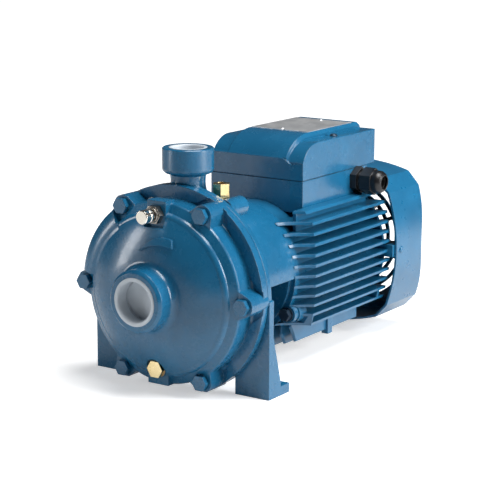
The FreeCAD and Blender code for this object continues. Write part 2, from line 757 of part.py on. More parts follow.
def motor_frame():
    """Cast aluminium frame with level side fins and upright fins below."""
    radius, reach = SIZE["frame_radius"], SIZE["fin_reach"]
    front, rear = SIZE["lantern_rear"], SIZE["frame_rear"]
    pitch, thickness = float(SIZE["fin_pitch"]), float(SIZE["fin_thickness"])
    fins = [cylinder("frame_tube", radius, rear - front, (0, front, H))]
    for step in range(-5, 7):
        middle = step * pitch
        # the fins run on past the frame's end, except the middle pair, which meets the rear shield's arms
        fin_end = rear if step == 0 else rear + FIN_OVERRUN
        fins.append(block(f"side_fin_{step}", (-reach - 5.0, front - 10.0, H + middle - thickness / 2),
                          (reach + 5.0, fin_end, H + middle + thickness / 2)))
    for step in range(-5, 6):
        middle = step * 10.4
        fins.append(block(f"lower_fin_{step}", (middle - thickness / 2, front + 4.0, H - 80.0),
                          (middle + thickness / 2, rear - (18.0 if abs(step) == 5 else 4.0), H - 20.0)))
    for side in (-1, 1):
        low_x, high_x = sorted((side * 51.0, side * 54.5))
        fins.append(block(f"corner_web_{side}", (low_x, front + 8.0, H + 34.0), (high_x, rear - 6.0, H + 57.0)))
        low_x, high_x = (40.0, reach + 5.0) if side > 0 else (-reach - 5.0, -40.0)
        for name, start in (("front", front + 9.0), ("rear", rear - 9.0)):
            fins.append(block(f"pocket_{name}_{side}", (low_x, start, H - 5 * pitch), (high_x, start + 3.5, H - 4 * pitch)))
    bare = fused("finned_tube", fins)
    section = padded("frame_section", squircle(reach, 76.0, (69.5, 48.8), (54.0, 66.2)),
                     rear + FIN_OVERRUN - front + 12.0, (0, rear + FIN_OVERRUN, H), FRONT_VIEW)
    envelope = turned("frame_envelope", [
        (0, front), (SIZE["lantern_radius"] + 0.4, front), (SIZE["lantern_radius"] + 0.4, front - 9.0),
        (68.5, front - 1.0, 65.6, front - 5.5), (84.0, front + 12.0, 75.0, front + 6.0), (95.0, front + 14.0),
        (95.0, rear + FIN_OVERRUN), (SHIELD_RADIUS + 0.6, rear + FIN_OVERRUN), (SHIELD_RADIUS + 0.6, rear), (0, rear),
    ])
    shaped = shared("frame_shaped", shared("frame_cut", bare, section), envelope)
    solids = [shaped, block("frame_nub", (48.5, 145.0, H - 71.0), (55.5, 153.0, H - 55.0))]
    for side in (-1, 1):
        x, z = polar(EAR_CIRCLE, EAR_ANGLES[side])
        solids.append(cylinder(f"frame_ear_{side}", 9.5, 12.0, (x, front, H + z)))
    spigot = cylinder("frame_spigot", SIZE["lantern_radius"] - 5.1, 3.0, (0, front - 2.9, H))
    solids.append(spigot)
    whole = fused("frame_whole", solids)
    box_space = block("box_space", (-SIZE["box_half"] - 0.2, front - 12.0, SIZE["box_floor"]),
                      (SIZE["box_half"] + 0.2, 240.0, H + 90.0))
    tube_kept = cylinder("tube_kept", radius, 200.0, (0, front - 20.0, H))
    cuts = [
        cylinder("frame_bore", SIZE["frame_bore"], 160.0, (0, front - 5.0, H)),
        cylinder("cable_way", CABLE_WAY_RADIUS, 20.0, (*CABLE_WAY, H + 50.0), "+Z"),
        without("fins_above", box_space, [tube_kept]),
    ]
    for side in (-1, 1):
        x, z = polar(EAR_CIRCLE, EAR_ANGLES[side])
        cuts.append(cylinder(f"frame_tapping_{side}", 3.0, 9.0, (x, front - 1.0, H + z)))
        cuts.append(cylinder(f"ear_room_{side}", 9.0, 11.0, (x, front - 11.0, H + z)))
    node("motor_frame", without("motor_frame", whole, cuts))


def motor_bolts():
    """Two hexagon bolts in the lantern's side windows."""
    bolts = []
    for side in (-1, 1):
        x, z = polar(EAR_CIRCLE, EAR_ANGLES[side])
        head = hexagon(f"motor_head_{side}", 10.0, 5.0, (x, SIZE["lantern_rear"] - 13.0, H + z))
        flange = cylinder(f"motor_washer_{side}", 6.6, 1.0, (x, SIZE["lantern_rear"] - 8.0, H + z))
        shank = cylinder(f"motor_shank_{side}", 3.0, 16.0, (x, SIZE["lantern_rear"] - 8.0, H + z))
        bolts.append(fused(f"motor_bolt_{side}", [head, flange, shank]))
    node("motor_bolts", group("motor_bolts", bolts))


def stator_and_rotor():
    front, rear = SIZE["core_front"], SIZE["core_rear"]
    node("stator_core", turned("stator_core", [
        (SIZE["rotor_radius"] + 0.4, front), (SIZE["frame_bore"], front), (SIZE["frame_bore"], rear),
        (SIZE["rotor_radius"] + 0.4, rear),
    ]))
    ends = []
    for name, start, end in (("front", front - 15.0, front), ("rear", rear, rear + 15.0)):
        ends.append(turned(f"winding_{name}", [
            (36.0, start + 2.0), (38.0, start), (50.0, start), (52.0, start + 2.0), (52.0, end), (36.0, end),
        ]))
    node("stator_windings", group("stator_windings", ends))
    node("rotor_core", turned("rotor_core", [
        (12.0, front), (SIZE["rotor_radius"], front), (SIZE["rotor_radius"], rear), (12.0, rear),
    ]))


def rear_shield():
    """Rear motor shield with the housing of the rear bearing."""
    rear = SIZE["frame_rear"]
    shield = turned("shield_blank", [
        (17.5, 198.0), (21.5, 198.0), (21.5, rear - 9.0), (50.0, rear - 5.0), (SIZE["frame_bore"] - 0.1, rear - 5.0),
        (SIZE["frame_bore"] - 0.1, rear), (SHIELD_RADIUS, rear), (SHIELD_RADIUS, rear + 3.0),
        (48.0, rear + 3.0), (21.5, rear - 2.0), (9.0, rear - 2.0), (9.0, rear - 4.0), (17.5, rear - 4.0),
    ])
    # the flange stops short of the terminal box
    box_side = block("shield_box_side", (-90.0, rear - 1.0, SIZE["box_floor"] - 0.5), (90.0, rear + 4.0, H + 90.0))
    shield_core = cylinder("shield_core", SIZE["frame_radius"] - 1.0, 40.0, (0, rear - 20.0, H))
    solids = [without("shield_trimmed", shield, [without("shield_top", box_side, [shield_core])])]
    for side in (-1, 1):
        low_x, high_x = sorted((side * 55.0, side * 82.6))
        solids.append(block(f"shield_arm_{side}", (low_x, rear, H - 6.0), (high_x, rear + 3.0, H + 6.0)))
        low_x, high_x = sorted((side * 75.0, side * 82.6))
        solids.append(block(f"shield_lug_{side}", (low_x, rear, H - 6.0), (high_x, rear + 20.0, H + 6.0)))
    holes = [
        cylinder(f"shield_tapping_{side}", 2.0, 12.0, (side * 72.0, SIZE["cover_front"] + 9.0, H), towards)
        for side, towards in ((1, "+X"), (-1, "-X"))
    ]
    node("rear_shield", without("rear_shield", fused("shield_whole", solids), holes))
    node("wave_washer", turned("wave_washer", [
        (13.5, rear - 4.8), (17.2, rear - 4.8), (17.2, rear - 4.0), (13.5, rear - 4.0),
    ]))
    rods = []
    for angle in (-40, 50, 130, 220):
        x, z = polar(54.4, angle)
        head = cylinder(f"rod_head_{angle}", 4.2, 3.5, (x, rear + 3.0, H + z))
        rods.append(head)
    node("shield_screws", group("shield_screws", rods))


def cooling_fan():
    hub = turned("fan_hub", [
        (6.0, 229.0), (12.0, 229.0), (14.0, 232.0), (66.0, 232.0), (66.0, 234.0), (16.0, 234.0), (13.0, 246.0),
        (6.0, 246.0),
    ])
    blades = []
    for number in range(9):
        blade = block(f"fan_blade_{number}", (11.0, 233.0, H - 1.0), (66.0, 262.0, H + 1.0))
        blades.append(around_shaft(blade, number * 40))
    node("cooling_fan", fused("cooling_fan", [hub] + blades))


COVER_HALF_HEIGHT = 80.0
COVER_ROUNDING = 12.0


def cover_shape(name, inset, front):
    """The cover's outside, or its hollow when inset, with the back edges rounded."""
    rear, reach, high = SIZE["cover_rear"], SIZE["cover_reach"], COVER_HALF_HEIGHT - inset
    bend, radius = rear - COVER_ROUNDING, COVER_ROUNDING - inset
    diagonal = radius * math.sqrt(0.5)
    section = padded(name + "_section", squircle(
        float(reach) - inset, high, (75.0 - inset, 57.0 - inset * 0.5), (63.0 - inset * 0.5, 70.0 - inset),
    ), rear - inset - front, (0, rear - inset, H), FRONT_VIEW)

    def rounded_back(half):
        """Outline seen square to one side, half wide, with two rounded back corners."""
        centre = half - radius
        return [
            (-half, front),
            (half, front),
            (half, bend),
            (centre, rear - inset, float(centre) + diagonal, float(bend) + diagonal),
            (-centre, rear - inset),
            (-half, bend, -float(centre) - diagonal, float(bend) + diagonal),
        ]

    plan = padded(name + "_plan", rounded_back(reach - inset), 220.0, (0, 0, -20.0), PLAN_VIEW)
    side = padded(name + "_side", rounded_back(high), 220.0, (-110.0, 0, H), Rotation(Vector(0, 1, 0), 90))
    return shared(name, shared(name + "_sides", section, plan), side)


def fan_cover():
    """Pressed cover with a slotted grille in its back."""
    front, rear, wall = SIZE["cover_front"], SIZE["cover_rear"], float(SIZE["cover_wall"])
    outside = cover_shape("cover_outside", 0.0, front)
    hollow = cover_shape("cover_hollow", wall, front - 1.0)
    rings = []
    for number in range(6):
        inner_radius = 15.0 + number * 9.6
        rings.append(turned(f"grille_ring_{number}", [
            (inner_radius, rear - 6.0), (inner_radius + 6.0, rear - 6.0), (inner_radius + 6.0, rear + 1.0),
            (inner_radius, rear + 1.0),
        ]))
    spokes = []
    for number in range(4):
        spoke = block(f"grille_spoke_{number}", (-80.0, rear - 8.0, H - 2.0), (80.0, rear + 2.0, H + 2.0))
        spokes.append(around_shaft(spoke, number * 45 + 22.5))
    slots = without("grille_slots", fused("grille_rings", rings), spokes)
    screw_holes = cylinder("cover_screw_holes", 2.2, 180.0, (-90.0, front + 9.0, H), "+X")
    node("fan_cover", without("fan_cover", outside, [hollow, slots, screw_holes]))
    screws = []
    for angle in (0, 180):
        screw = turned(f"cover_screw_{angle}", [
            (0, 1.6), (2.6, 1.4), (3.6, 0.0), (2.0, 0.0), (2.0, -9.0), (0, -9.0),
        ], (SIZE["cover_reach"], front + 9.0, H), "+X")
        screws.append(around_shaft(screw, angle))
    node("fan_cover_screws", group("fan_cover_screws", screws))


# ---------------------------------------------------------------- terminal box

BOX_WALL = 2.5
BOX_FLOOR_RISE = 65.0
GASKET = 0.6
BROW_RADIUS, BROW_RUN = 30.0, 27.0
HOOD_RADIUS, HOOD_RUN = 45.0, 37.0
PANEL_DEPTH, PANEL_END = 2.0, 38.5
CREASE = 192.0
LID_SCREW_PLACE = (43.0, 171.0)


def terminal_box():
    """Cast box saddled on the motor's tube, its gasket, and the hooded lid."""
    half, front, rear = SIZE["box_half"], SIZE["box_front"], SIZE["box_rear"]
    bottom, seam = SIZE["box_floor"], SIZE["box_seam"]
    wall_low, wall_high = front + BOX_WALL, rear - BOX_WALL
    base = fused("box_outer", [
        block("box_block", (-half, front, bottom), (half, rear, seam - GASKET)),
        front_panel("box_panel", bottom, seam - GASKET),
    ])
    hollows = [
        cylinder("box_saddle", SIZE["frame_radius"], 160.0, (0, front - 10.0, H)),
        block("box_room", (-half + BOX_WALL, wall_low, H + BOX_FLOOR_RISE), (half - BOX_WALL, wall_high, seam + 1.0)),
    ]
    for side in (-1, 1):
        low_x, high_x = (34.0, half - BOX_WALL) if side > 0 else (-half + BOX_WALL, -34.0)
        hollows.append(block(f"box_side_room_{side}", (low_x, wall_low, bottom + 3.2), (high_x, wall_high, seam + 1.0)))
    holes = [
        cylinder("box_cable_way", CABLE_WAY_RADIUS, 40.0, (*CABLE_WAY, H + 50.0), "+Z"),
        cylinder("gland_hole", 8.1, 8.0, (half - 5.0, SIZE["gland_station"], SIZE["gland_height"]), "+X"),
    ]
    posts = []
    for side in (-1, 1):
        place_on_lid = (side * LID_SCREW_PLACE[0], LID_SCREW_PLACE[1])
        posts.append(cylinder(f"post_{side}", 5.0, seam - GASKET - bottom, (*place_on_lid, bottom), "+Z"))
        holes.append(cylinder(f"post_tapping_{side}", 2.0, 20.0, (*place_on_lid, seam - 16.0), "+Z"))
    hollow_base = without("box_hollow", base, hollows)
    node("terminal_box_base", without("terminal_box_base", fused("box_posts", [hollow_base] + posts), holes))
    rim_outer = block("gasket_outer", (-half + 0.5, front + 0.4, seam - GASKET), (half - 0.5, rear - 0.4, seam))
    rim_inner = block("gasket_inner", (-half + BOX_WALL, wall_low, seam - 2.0), (half - BOX_WALL, wall_high, seam + 1.0))
    node("box_gasket", without("box_gasket", rim_outer, [rim_inner]))
    node("terminal_box_lid", box_lid())


def front_panel(name, low, high):
    """The box's flat front, which stands forward and turns back to the right corner in a narrow facet."""
    half, front = SIZE["box_half"], SIZE["box_front"]
    back = front + BOX_WALL - 0.5
    return padded(name, [
        (-half, back), (-half, front - PANEL_DEPTH), (PANEL_END, front - PANEL_DEPTH), (half, front), (half, back),
    ], high - low, (0, 0, low), PLAN_VIEW)


def brow(run, radius, start, top):
    """Start height and middle point of an arc that rises from an upright front and ends level at the top.

    start is the station of the front, run the arc's length along the shaft and radius its size.
    """
    centre_y, centre_z = float(start) + run, float(top) - radius
    lowest = math.acos(run / radius)
    middle = (lowest + math.pi / 2) / 2
    height = centre_z + radius * math.sin(lowest)
    return height, centre_y - radius * math.cos(middle), centre_z + radius * math.sin(middle)


def hood_profile(inset):
    """Side outline of the lid's shelf level: upright front, rounded brow and flat top."""
    front, rear = SIZE["box_front"] + inset, SIZE["lid_rear"]
    top, low = SIZE["lid_shelf"] - inset, SIZE["box_seam"]
    if inset > 0:
        rear, low = SIZE["box_rear"] - BOX_WALL, SIZE["box_seam"] - 1.0
    height, middle_y, middle_z = brow(BROW_RUN - inset, BROW_RADIUS - inset, front, top)
    return [
        (front, low),
        (rear, low),
        (rear, top),
        (SIZE["box_front"] + BROW_RUN, top),
        (front, height, middle_y, middle_z),
    ]


def platform_profile():
    """Side outline of the raised middle: a hood that curves up from the crease to the flat top."""
    front = SIZE["box_front"] - 0.6
    rear, top = SIZE["lid_rear"] - 4.9, SIZE["platform_top"]
    height, middle_y, middle_z = brow(HOOD_RUN, HOOD_RADIUS, front, top)
    return [
        (front, 180.0),
        (rear + 2.5, 180.0),
        (rear + 2.5, SIZE["lid_shelf"]),
        (rear, top),
        (front + HOOD_RUN, top),
        (front, height, middle_y, middle_z),
    ]


def lid_panel():
    """The lid's share of the flat front: its top edge falls away at the right end."""
    half, seam = SIZE["box_half"], SIZE["box_seam"]
    panel = front_panel("lid_panel_blank", seam, CREASE)
    outline = padded("lid_panel_outline", [
        (-half - 1.0, seam - 1.0),
        (half + 1.0, seam - 1.0),
        (half + 1.0, 188.0),
        (PANEL_END, 186.0),
        (24.0, CREASE, 32.5, 190.4),
        (-half - 1.0, CREASE),
    ], 12.0, (0, SIZE["box_front"] + 6.0, 0), FRONT_VIEW)
    return shared("lid_panel", panel, outline)


def box_lid():
    half, wall = SIZE["box_half"], float(SIZE["lid_wall"])
    shelf = padded("lid_shelf_level", hood_profile(0.0), half * 2, (-half, 0, 0), SIDE_VIEW)
    middle = SIZE["platform_half"]
    platform = padded("lid_platform", platform_profile(), middle * 2, (-middle, 0, 0), SIDE_VIEW)
    doc.recompute()
    bevelled = doc.addObject("Part::Chamfer", "lid_platform_bevel")
    bevelled.Base = platform
    top = float(SIZE["platform_top"])
    bevelled.Edges = [
        (number, 3.0, 3.0)
        for number, edge in enumerate(platform.Shape.Edges, 1)
        if edge.BoundBox.YLength > 20 and edge.BoundBox.ZMax > top - 0.01 and edge.BoundBox.XLength < 0.1
    ]
    inner_shelf = padded("lid_room", hood_profile(wall), half * 2 - 2 * wall, (-half + wall, 0, 0), SIDE_VIEW)
    inner_middle = padded("lid_platform_room", [
        (SIZE["box_front"] + 20.0, 185.0), (SIZE["box_rear"] - BOX_WALL, 185.0), (SIZE["box_rear"] - BOX_WALL, 207.5),
        (145.0, 207.5), (SIZE["box_front"] + 20.0, 198.0),
    ], middle * 2 - 8.0, (-middle + 4.0, 0, 0), SIDE_VIEW)
    solid = fused("lid_solid", [shelf, bevelled, lid_panel()])
    hollow = without("lid_hollow", solid, [inner_shelf, inner_middle])
    posts, holes = [], []
    for side in (-1, 1):
        x, y = side * LID_SCREW_PLACE[0], LID_SCREW_PLACE[1]
        posts.append(cylinder(f"lid_post_{side}", 4.4, SIZE["lid_shelf"] - SIZE["box_seam"] - 1.0,
                              (x, y, SIZE["box_seam"]), "+Z"))
        holes.append(cylinder(f"lid_screw_hole_{side}", 2.3, 60.0, (x, y, SIZE["box_seam"] - 5.0), "+Z"))
    return without("terminal_box_lid", fused("lid_with_posts", [hollow] + posts), holes)


def lid_details():
    shelf, top = SIZE["lid_shelf"], SIZE["platform_top"]
    screws = []
    for side in (-1, 1):
        screws.append(turned(f"lid_screw_{side}", [
            (0, 2.2), (2.8, 2.0), (3.8, 0.6), (3.8, 0.0), (2.0, 0.0), (2.0, -44.0), (0, -44.0),
        ], (side * LID_SCREW_PLACE[0], LID_SCREW_PLACE[1], shelf), "+Z"))
    node("lid_screws", group("lid_screws", screws))
    node("data_plate", block("data_plate", (-32.0, 142.5, top), (32.0, 223.0, top + 0.5)))
    rivets = []
    for station in (147.5, 218.0):
        rivets.append(turned(f"rivet_{station:.0f}", [
            (0, 0.9), (1.4, 0.7), (2.1, 0.0), (0, 0.0),
        ], (0.0, station, top + 0.5), "+Z"))
    node("plate_rivets", group("plate_rivets", rivets))


def electrics():
    floor = H + BOX_FLOOR_RISE
    node("capacitor", turned("capacitor", [
        (0, 118.0), (14.0, 118.0), (15.0, 119.0), (15.0, 178.0), (14.0, 179.0), (6.0, 179.0), (6.0, 183.0), (0, 183.0),
    ], (-19.0, 0, floor + 15.0)))
    block_base = block("terminal_base", (2.0, 120.0, floor), (34.0, 165.0, floor + 8.0))
    studs = [
        cylinder(f"stud_{number}", 2.0, 10.0, (10.0 + 16.0 * (number % 2), 128.0 + 14.0 * (number // 2), floor + 7.0),
                 "+Z")
        for number in range(6)
    ]
    node("terminal_block", fused("terminal_block", [block_base] + studs))


def cable_gland():
    """Plastic compression gland on the box's right wall, with no cable in it."""
    wall = SIZE["box_half"]
    station, height = SIZE["gland_station"], SIZE["gland_height"]
    start = (wall, station, height)
    base = hexagon("gland_base", 23.0, 7.0, start, "+X")
    barrel = turned("gland_barrel", [
        (6.5, -6.0), (8.0, -6.0), (8.0, 0.5), (9.4, 0.5), (9.4, 20.0), (6.5, 20.0),
    ], start, "+X")
    bore = cylinder("gland_bore", 6.5, 12.0, (wall - 2.0, station, height), "+X")
    node("gland_body", without("gland_body", fused("gland_whole", [base, barrel]), [bore]))
    grip = hexagon("gland_grip", 23.0, 11.5, (wall + 10.5, station, height), "+X")
    dome = turned("gland_dome", [
        (0, 20.0), (11.2, 20.0), (11.0, 25.0), (8.8, 31.0, 10.4, 28.6), (7.6, 32.0), (0, 32.0),
    ], start, "+X")
    inside = turned("gland_nut_room", [
        (0, 10.0), (9.45, 10.0), (9.45, 29.0), (6.6, 30.5), (6.6, 33.0), (0, 33.0),
    ], start, "+X")
    node("gland_nut", without("gland_nut", fused("gland_nut_whole", [grip, dome]), [inside]))
    node("gland_seal", turned("gland_seal", [
        (6.5, 20.2), (9.2, 20.2), (9.2, 28.6), (6.5, 28.6),
    ], start, "+X"))
    back_nut = hexagon("back_nut_blank", 23.0, 3.4, (wall - BOX_WALL - 3.4, station, height), "+X")
    node("gland_back_nut", without("gland_back_nut", back_nut, [
        cylinder("back_nut_bore", 8.05, 8.0, (wall - 8.0, station, height), "+X"),
    ]))


# ---------------------------------------------------------------- plugs and transit discs

def plugs():
    vent_at = (0.0, VENT_SEAT, H + VENT_RISE)
    vent_hexagon = hexagon("vent_hexagon", 15.0, 6.2, (0.0, VENT_SEAT, H + VENT_RISE), "-Y")
    vent_stem = turned("vent_stem", [
        (0, -10.0), (4.9, -10.0), (4.9, 0.5), (6.8, 0.5), (6.8, 7.6), (6.3, 8.2), (4.2, 8.2), (4.2, 10.2), (2.4, 10.2),
        (2.4, 15.0), (0, 15.0),
    ], vent_at, "-Y")
    node("vent_plug", fused("vent_plug", [vent_hexagon, vent_stem]))
    node("vent_cap", turned("vent_cap", [
        (2.5, 10.6), (5.4, 10.6), (6.2, 11.4), (6.2, 13.4), (5.6, 13.8), (5.6, 14.6), (6.2, 15.0), (6.2, 20.9),
        (5.6, 21.5), (0, 21.5), (0, 15.4), (2.5, 15.4),
    ], vent_at, "-Y"))
    drain_at = (0.0, DRAIN_SEAT, DRAIN_HEIGHT)
    head = hexagon("drain_head", 14.5, 4.6, (0.0, DRAIN_SEAT - 1.0, DRAIN_HEIGHT), "-Y")
    shank = cylinder("drain_shank", 4.9, 9.5, (0.0, DRAIN_SEAT - 1.0, DRAIN_HEIGHT))
    node("drain_plug", fused("drain_plug", [head, shank]))
    node("drain_washer", turned("drain_washer", [(5.05, 0), (8.2, 0), (8.2, 1.0), (5.05, 1.0)], drain_at, "-Y"))
    x, y = PRIMING_PLACE
    head_height, socket_depth = 14.5, 6.0
    cap = hexagon("priming_head", 14.0, head_height, (x, y, PRIMING_SEAT + 1.5), "+Z")
    stem = cylinder("priming_stem", 6.5, 13.0, (x, y, PRIMING_SEAT - 11.4), "+Z")
    slot = cylinder("priming_socket", 4.2, 8.0, (x, y, PRIMING_SEAT + 1.5 + head_height - socket_depth), "+Z")
    node("priming_plug", without("priming_plug", fused("priming_whole", [cap, stem]), [slot]))
    node("priming_washer", turned("priming_washer", [(6.7, 0), (PRIMING_WASHER, 0), (PRIMING_WASHER, 1.5), (6.7, 1.5)],
                                  (x, y, PRIMING_SEAT), "+Z"))
    # plastic discs that keep dirt out of the ports until the pump is piped
    node("suction_disc", turned("suction_disc", [
        (0, 0), (18.9, 0), (18.9, 3.2), (17.4, 3.2), (17.4, 2.4), (0, 2.4),
    ], (0, SIZE["suction_thread_end"] + 3.5, H), "-Y"))
    node("discharge_disc", turned("discharge_disc", [
        (0, 0), (14.6, 0), (14.6, 3.2), (13.2, 3.2), (13.2, 2.2), (0, 2.2),
    ], (0, SIZE["discharge_station"], SIZE["discharge_top"] - 16.5), "+Z"))


def write_parts():
    """Checks the whole document, then writes each named piece to its own STEP file."""
    doc.recompute()
    faults = []
    for item in doc.Objects:
        if "Invalid" in item.State or "Error" in item.State:
            faults.append(item.Name)
        elif hasattr(item, "Shape") and (item.Shape.isNull() or not item.Shape.isValid()):
            faults.append(item.Name)
    if faults:
        raise SystemExit(f"these pieces failed: {faults}")
    os.makedirs("parts", exist_ok=True)
    for label, item in NODES.items():
        item.Shape.exportStep(os.path.join("parts", label + ".step"))


front_casing()
casing_screws()
rear_casing()
casing_seal()
impeller("first_impeller", -61.0, -36.0)
impeller("second_impeller", -28.8, -14.0)
stage_plate()
shaft_line()
shaft_seal()
bearing("front", 60.0, 8.5, 20.0, 12.0)
bearing("rear", 204.0, 7.5, 17.5, 11.0)
motor_frame()
motor_bolts()
stator_and_rotor()
rear_shield()
cooling_fan()
fan_cover()
terminal_box()
lid_details()
electrics()
cable_gland()
plugs()
write_parts()
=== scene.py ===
import json
import math

import bmesh
import bpy
from mathutils import Matrix, Vector


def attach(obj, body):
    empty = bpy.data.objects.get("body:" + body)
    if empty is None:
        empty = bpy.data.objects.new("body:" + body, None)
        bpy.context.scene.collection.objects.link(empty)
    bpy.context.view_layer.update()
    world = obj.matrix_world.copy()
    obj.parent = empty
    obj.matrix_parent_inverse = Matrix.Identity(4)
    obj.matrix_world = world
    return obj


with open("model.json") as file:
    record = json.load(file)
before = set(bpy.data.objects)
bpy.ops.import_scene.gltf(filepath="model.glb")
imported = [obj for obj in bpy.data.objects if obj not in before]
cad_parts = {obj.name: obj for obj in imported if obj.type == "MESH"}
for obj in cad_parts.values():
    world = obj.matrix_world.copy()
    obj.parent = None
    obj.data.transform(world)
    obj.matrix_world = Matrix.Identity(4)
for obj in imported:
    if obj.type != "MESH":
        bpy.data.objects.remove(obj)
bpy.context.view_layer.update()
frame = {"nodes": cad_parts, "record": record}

SHAFT_HEIGHT = 0.0884
SUCTION_FACE = -0.0861


# ---------------------------------------------------------------- materials

def new_material(name, **settings):
    """A Principled material with constants set on the shader's own sockets."""
    material = bpy.data.materials.new(name)
    material.use_nodes = True
    shader = material.node_tree.nodes["Principled BSDF"]
    for socket, value in settings.items():
        shader.inputs[socket.replace("_", " ")].default_value = value
    return material, material.node_tree.nodes, material.node_tree.links, shader


def noise(nodes, links, place, scale, detail=3.0, roughness=0.55, distortion=0.0):
    texture = nodes.new("ShaderNodeTexNoise")
    texture.inputs["Scale"].default_value = scale
    texture.inputs["Detail"].default_value = detail
    texture.inputs["Roughness"].default_value = roughness
    texture.inputs["Distortion"].default_value = distortion
    links.new(place, texture.inputs["Vector"])
    return texture.outputs["Fac"]


def ramp(nodes, links, factor, stops):
    blend = nodes.new("ShaderNodeValToRGB")
    for element, (position, colour) in zip(blend.color_ramp.elements, stops):
        element.position = position
        element.color = (*colour, 1.0)
    links.new(factor, blend.inputs["Fac"])
    return blend.outputs["Color"]


def span(nodes, links, value, low, high, from_low=0.3, from_high=0.7):
    """Maps a texture's middle band to a useful range."""
    mapped = nodes.new("ShaderNodeMapRange")
    mapped.inputs["From Min"].default_value = from_low
    mapped.inputs["From Max"].default_value = from_high
    mapped.inputs["To Min"].default_value = low
    mapped.inputs["To Max"].default_value = high
    links.new(value, mapped.inputs["Value"])
    return mapped.outputs["Result"]


def bump(nodes, links, height, distance, strength=1.0, below=None):
    node = nodes.new("ShaderNodeBump")
    node.inputs["Strength"].default_value = strength
    node.inputs["Distance"].default_value = distance
    links.new(height, node.inputs["Height"])
    if below is not None:
        links.new(below, node.inputs["Normal"])
    return node.outputs["Normal"]


def soft_edges(nodes, radius):
    """Normals that roll over each edge, as thick paint and moulded corners do."""
    bevel = nodes.new("ShaderNodeBevel")
    bevel.samples = 6
    bevel.inputs["Radius"].default_value = radius
    return bevel.outputs["Normal"]


def surface(name, light, dark, roughness, grain, grain_depth, edge=0.0006, waviness=0.0, **settings):
    """A surface with two-tone mottling, a roughness that varies, fine grain and rolled edges."""
    material, nodes, links, shader = new_material(name, **settings)
    place = nodes.new("ShaderNodeTexCoord").outputs["Object"]
    patches = noise(nodes, links, place, 22.0, 4.0, 0.6, 0.4)
    links.new(ramp(nodes, links, patches, [(0.36, dark), (0.64, light)]), shader.inputs["Base Color"])
    smears = noise(nodes, links, place, 75.0, 5.0, 0.65)
    low, high = roughness
    links.new(span(nodes, links, smears, low, high), shader.inputs["Roughness"])
    normal = soft_edges(nodes, edge)
    if waviness:
        normal = bump(nodes, links, noise(nodes, links, place, 55.0, 2.0), waviness, 1.0, normal)
    normal = bump(nodes, links, noise(nodes, links, place, grain, 3.0, 0.6), grain_depth, 1.0, normal)
    links.new(normal, shader.inputs["Normal"])
    return material


ENAMEL_LIGHT = (0.008, 0.110, 0.225)
ENAMEL_DARK = (0.005, 0.088, 0.185)

